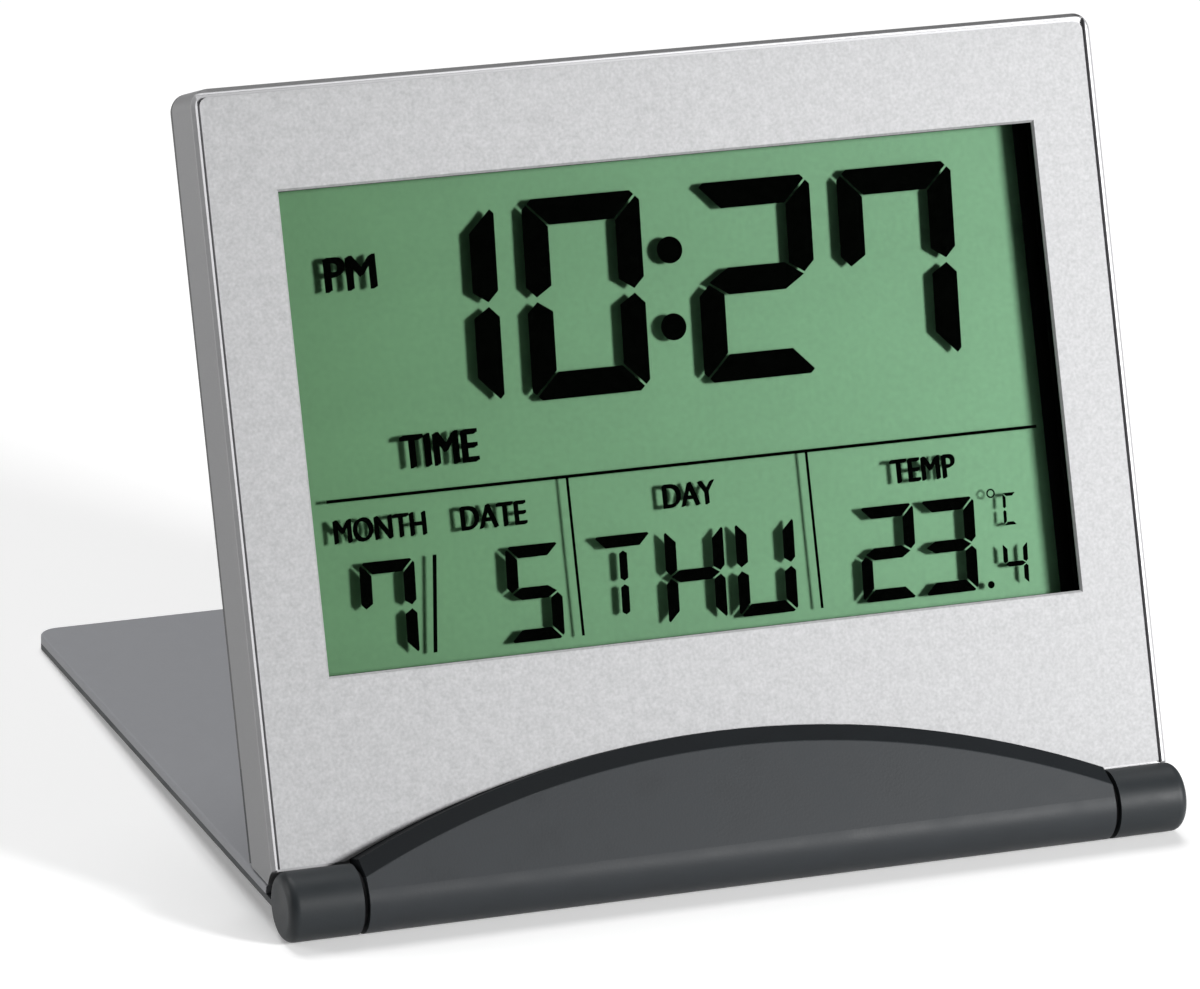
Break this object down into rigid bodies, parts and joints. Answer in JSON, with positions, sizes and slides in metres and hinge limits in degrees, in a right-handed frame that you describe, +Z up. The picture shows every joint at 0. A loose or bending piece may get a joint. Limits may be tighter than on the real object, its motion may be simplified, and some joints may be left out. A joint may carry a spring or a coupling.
{
  "type": "folding travel alarm clock",
  "caption": "Folding digital alarm clock: thin display head on a barrel hinge, with a flat cover that folds round behind it as its stand.",
  "frame": {"origin": "on the table, under the middle of the footprint of the clock as it stands open", "axes": "+X to the viewer's right along the hinge, +Y to the back, +Z up"},
  "size_m": [0.085, 0.074, 0.0684],
  "materials": {
    "silver_case": "satin silver paint over plastic",
    "face_metal": "fine blasted matte",
    "clear_lens": "clear gloss",
    "display_glass": "clear gloss",
    "display_film": "thin grey-green film",
    "green_reflector": "matte green",
    "clear_guide": "clear acrylic, frosted back",
    "black_plastic": "matte black",
    "dark_plastic": "fine-textured dark grey",
    "cover_silver": "satin silver-grey",
    "key_grey": "mid grey, satin",
    "soft_rubber": "matte black",
    "board_green": "green lacquer",
    "bright_steel": "bright nickel",
    "screw_steel": "dark zinc",
    "switch_metal": "pressed steel",
    "brass_disc": "plain brass",
    "chip_ceramic": "matte ceramic",
    "bead_brown": "brown lacquer",
    "wire_red": "red insulation"
  },
  "bodies": {
    "clock_head": {"front_shell": "silver_case", "face_plate": "face_metal", "display_window": "clear_lens", "display_holder": "black_plastic", "display_polariser": "display_film", "display_front_glass": "display_glass", "display_rear_glass": "display_glass", "display_reflector": "green_reflector", "light_guide": "clear_guide", "contact_strip_low": "soft_rubber", "contact_strip_high": "soft_rubber", "circuit_board": "board_green", "clock_chip": "black_plastic", "quartz_crystal": "bright_steel", "chip_parts": "chip_ceramic", "temperature_bead": "bead_brown", "coin_cell": "bright_steel", "contact_leaf": "bright_steel", "contact_clip": "bright_steel", "mode_switch": "switch_metal", "set_switch": "switch_metal", "up_switch": "switch_metal", "down_switch": "switch_metal", "alarm_switch": "switch_metal", "buzzer_disc": "brass_disc", "buzzer_ceramic": "chip_ceramic", "buzzer_wires": "wire_red", "rear_cover": "dark_plastic", "case_screws": "screw_steel", "hinge_screws": "screw_steel", "board_screws": "screw_steel", "hinge_panel": "dark_plastic", "hinge_pin_left": "screw_steel", "hinge_pin_right": "screw_steel", "friction_ring_left": "soft_rubber", "friction_ring_right": "soft_rubber"},
    "stand_cover": {"cover_frame": "dark_plastic", "cover_skin": "cover_silver", "foot_pad_left": "soft_rubber", "foot_pad_right": "soft_rubber"},
    "mode_button": {"mode_key": "key_grey"},
    "set_button": {"set_key": "key_grey"},
    "up_button": {"up_key": "key_grey"},
    "down_button": {"down_key": "key_grey"},
    "battery_cover": {"battery_cap": "dark_plastic"},
    "alarm_slide": {"alarm_slider": "key_grey"}
  },
  "joints": [
    {"name": "cover_hinge", "type": "hinge", "parent": "clock_head", "child": "stand_cover", "pos_m": [0, -0.03388, 0.0031], "axis": [-1, 0, 0], "range_deg": [0, 290]},
    {"name": "mode_press", "type": "slide", "parent": "clock_head", "child": "mode_button", "axis": [0, -0.9272, 0.3746], "range_m": [0, 0.0004], "stiffness_N_per_m": 800, "springref_m": -0.0005},
    {"name": "set_press", "type": "slide", "parent": "clock_head", "child": "set_button", "axis": [0, -0.9272, 0.3746], "range_m": [0, 0.0004], "stiffness_N_per_m": 800, "springref_m": -0.0005},
    {"name": "up_press", "type": "slide", "parent": "clock_head", "child": "up_button", "axis": [0, -0.9272, 0.3746], "range_m": [0, 0.0004], "stiffness_N_per_m": 800, "springref_m": -0.0005},
    {"name": "down_press", "type": "slide", "parent": "clock_head", "child": "down_button", "axis": [0, -0.9272, 0.3746], "range_m": [0, 0.0004], "stiffness_N_per_m": 800, "springref_m": -0.0005},
    {"name": "cap_turn", "type": "hinge", "parent": "clock_head", "child": "battery_cover", "pos_m": [-0.016, -0.01262, 0.02902], "axis": [0, -0.9272, 0.3746], "range_deg": [0, 60]},
    {"name": "alarm_slide_move", "type": "slide", "parent": "clock_head", "child": "alarm_slide", "axis": [1, 0, 0], "range_m": [0, 0.003]}
  ]
}
